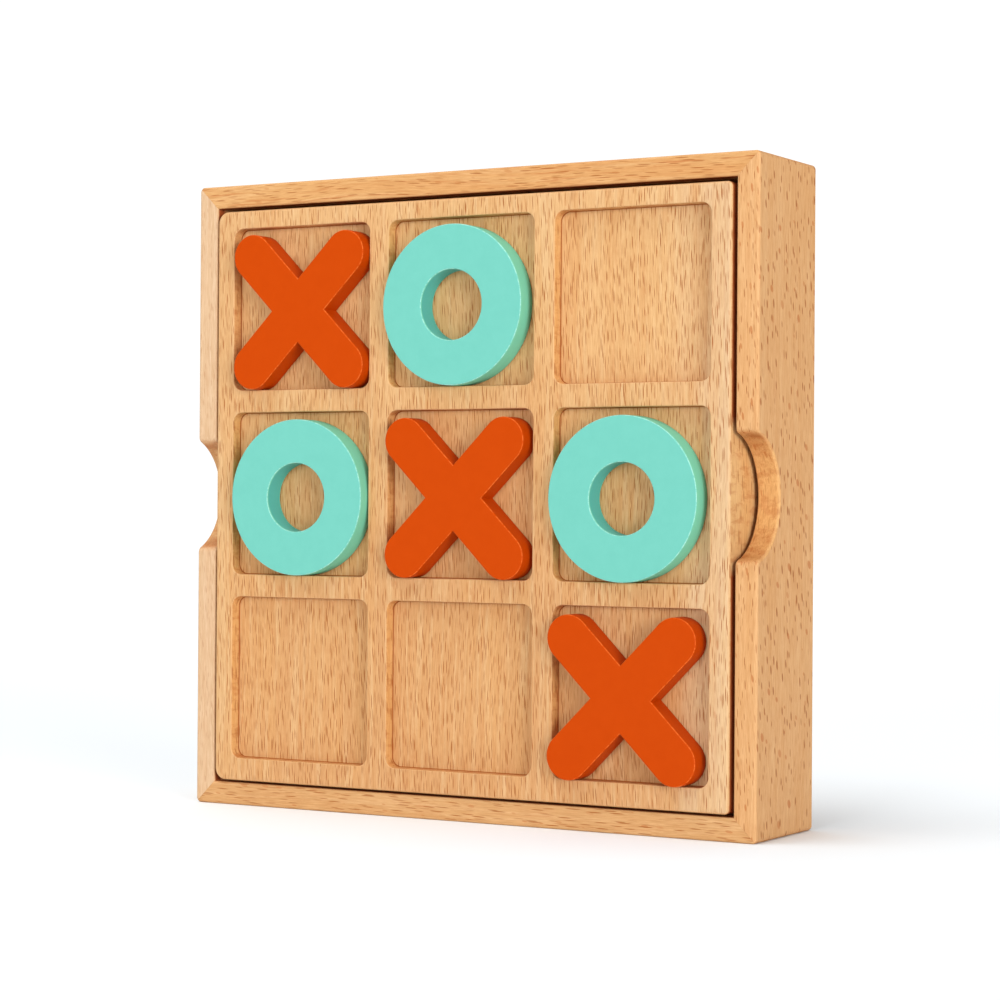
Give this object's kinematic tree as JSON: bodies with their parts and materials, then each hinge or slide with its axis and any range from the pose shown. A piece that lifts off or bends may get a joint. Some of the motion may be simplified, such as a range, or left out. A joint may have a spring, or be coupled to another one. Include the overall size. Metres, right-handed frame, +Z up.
{
  "type": "tic tac toe set",
  "caption": "Square wooden tic tac toe set: a mitred box with finger notches, a lift-out board with pocket cells, and painted crosses and rings with storage behind the board.",
  "frame": {"origin": "centre of the bottom wall's outer face, halfway along the box and halfway through its depth", "axes": "+Z up through the standing box, -Y out of the board's playing face, +X to the right when facing the board"},
  "size_m": [0.15, 0.0331, 0.15],
  "materials": {
    "box_beech": "sanded beech, thin matt lacquer",
    "board_beech": "sanded beech, thin matt lacquer",
    "panel_plywood": "sanded birch plywood, unfinished",
    "block_wood": "sawn softwood, unfinished",
    "orange_paint": "satin orange paint on wood",
    "teal_paint": "satin pale teal paint on wood"
  },
  "bodies": {
    "box": {"box_wall_bottom": "box_beech", "box_wall_left": "box_beech", "box_wall_top": "box_beech", "box_wall_right": "box_beech", "back_panel": "panel_plywood", "corner_block_bottom_left": "block_wood", "corner_block_top_left": "block_wood", "corner_block_top_right": "block_wood", "corner_block_bottom_right": "block_wood"},
    "board": {"game_board": "board_beech"},
    "cross_top_left": {"cross_piece_top_left": "orange_paint"},
    "cross_centre": {"cross_piece_centre": "orange_paint"},
    "cross_bottom_right": {"cross_piece_bottom_right": "orange_paint"},
    "ring_top_middle": {"ring_piece_top_middle": "teal_paint"},
    "ring_middle_left": {"ring_piece_middle_left": "teal_paint"},
    "ring_middle_right": {"ring_piece_middle_right": "teal_paint"},
    "spare_ring_left": {"spare_ring_piece_left": "teal_paint"},
    "spare_cross_lower": {"spare_cross_piece_lower": "orange_paint"},
    "spare_ring_right": {"spare_ring_piece_right": "teal_paint"},
    "spare_cross_upper": {"spare_cross_piece_upper": "orange_paint"}
  },
  "joints": [
    {"name": "board_lift", "type": "slide", "parent": "box", "child": "board", "axis": [0, -1, 0], "range_m": [0, 0.07]},
    {"name": "cross_top_left_lift", "type": "slide", "parent": "board", "child": "cross_top_left", "axis": [0, -1, 0], "range_m": [0, 0.025]},
    {"name": "cross_centre_lift", "type": "slide", "parent": "board", "child": "cross_centre", "axis": [0, -1, 0], "range_m": [0, 0.025]},
    {"name": "cross_bottom_right_lift", "type": "slide", "parent": "board", "child": "cross_bottom_right", "axis": [0, -1, 0], "range_m": [0, 0.025]},
    {"name": "ring_top_middle_lift", "type": "slide", "parent": "board", "child": "ring_top_middle", "axis": [0, -1, 0], "range_m": [0, 0.025]},
    {"name": "ring_middle_left_lift", "type": "slide", "parent": "board", "child": "ring_middle_left", "axis": [0, -1, 0], "range_m": [0, 0.025]},
    {"name": "ring_middle_right_lift", "type": "slide", "parent": "board", "child": "ring_middle_right", "axis": [0, -1, 0], "range_m": [0, 0.025]},
    {"name": "spare_ring_left_lift", "type": "slide", "parent": "box", "child": "spare_ring_left", "axis": [0, -1, 0], "range_m": [0, 0.035]},
    {"name": "spare_cross_lower_lift", "type": "slide", "parent": "box", "child": "spare_cross_lower", "axis": [0, -1, 0], "range_m": [0, 0.035]},
    {"name": "spare_ring_right_lift", "type": "slide", "parent": "box", "child": "spare_ring_right", "axis": [0, -1, 0], "range_m": [0, 0.035]},
    {"name": "spare_cross_upper_lift", "type": "slide", "parent": "box", "child": "spare_cross_upper", "axis": [0, -1, 0], "range_m": [0, 0.035]}
  ],
  "couplings": [
    {"joint": "spare_ring_left_lift", "follows": "board_lift", "ratio": 0.5},
    {"joint": "spare_cross_lower_lift", "follows": "board_lift", "ratio": 0.5},
    {"joint": "spare_ring_right_lift", "follows": "board_lift", "ratio": 0.5},
    {"joint": "spare_cross_upper_lift", "follows": "board_lift", "ratio": 0.5}
  ]
}
